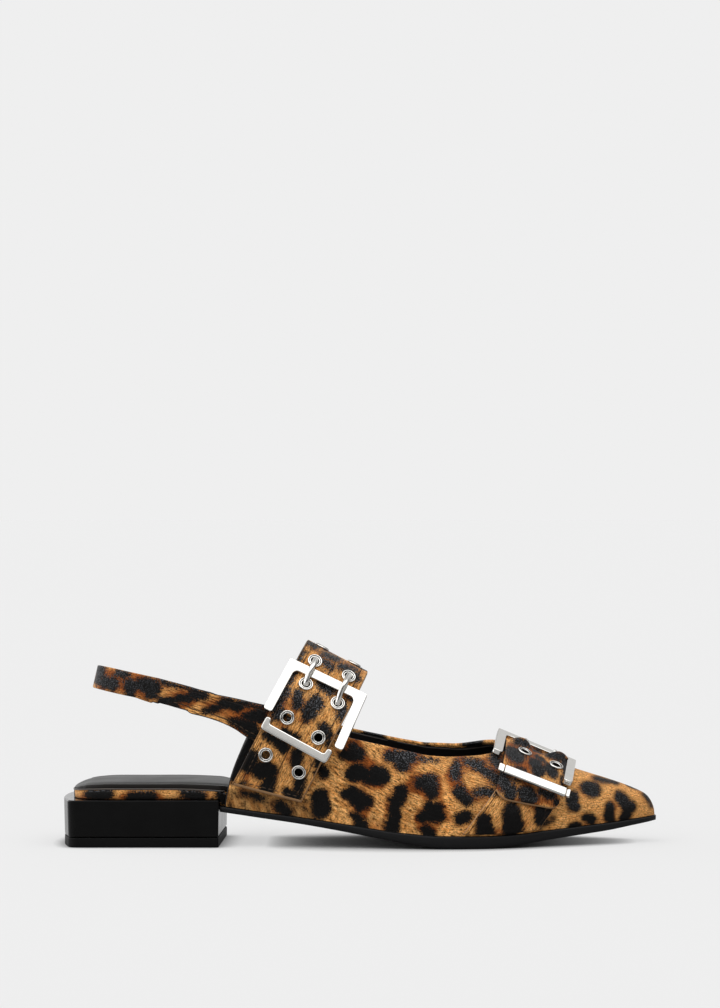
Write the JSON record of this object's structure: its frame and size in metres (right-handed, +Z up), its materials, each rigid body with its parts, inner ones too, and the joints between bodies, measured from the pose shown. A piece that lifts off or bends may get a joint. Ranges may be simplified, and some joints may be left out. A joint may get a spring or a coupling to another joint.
{
  "type": "flat shoe",
  "caption": "Pointed slingback flat in leopard-print hide with a wide buckled instep strap, a buckled toe strap and a low black block heel.",
  "frame": {"origin": "middle of the bounding box on the floor, under the arch", "axes": "+X from heel to toe, +Y from the outer to the inner side of the right foot, +Z up from the floor"},
  "size_m": [0.2725, 0.0773, 0.0934],
  "materials": {
    "printed_hide": "printed short hair, satin",
    "sock_leather": "smooth black, satin",
    "sole_rubber": "smooth black, semi-matte",
    "heel_lacquer": "gloss black",
    "buckle_metal": "polished silver"
  },
  "bodies": {
    "root": {"heel": "heel_lacquer", "heel_tip": "sole_rubber", "insole_board": "printed_hide", "insole_sock": "sock_leather", "instep_buckle": "buckle_metal", "instep_eyelet_1": "buckle_metal", "instep_eyelet_10": "buckle_metal", "instep_eyelet_2": "buckle_metal", "instep_eyelet_3": "buckle_metal", "instep_eyelet_4": "buckle_metal", "instep_eyelet_5": "buckle_metal", "instep_eyelet_6": "buckle_metal", "instep_eyelet_7": "buckle_metal", "instep_eyelet_8": "buckle_metal", "instep_eyelet_9": "buckle_metal", "instep_prong_1": "buckle_metal", "instep_prong_2": "buckle_metal", "instep_strap": "printed_hide", "outsole": "sole_rubber", "sling_strap": "printed_hide", "toe_buckle": "buckle_metal", "toe_eyelet_1": "buckle_metal", "toe_eyelet_2": "buckle_metal", "toe_eyelet_3": "buckle_metal", "toe_eyelet_4": "buckle_metal", "toe_prong_1": "buckle_metal", "toe_prong_2": "buckle_metal", "toe_strap": "printed_hide", "toe_strap_base": "printed_hide", "upper": "printed_hide"}
  },
  "joints": []
}
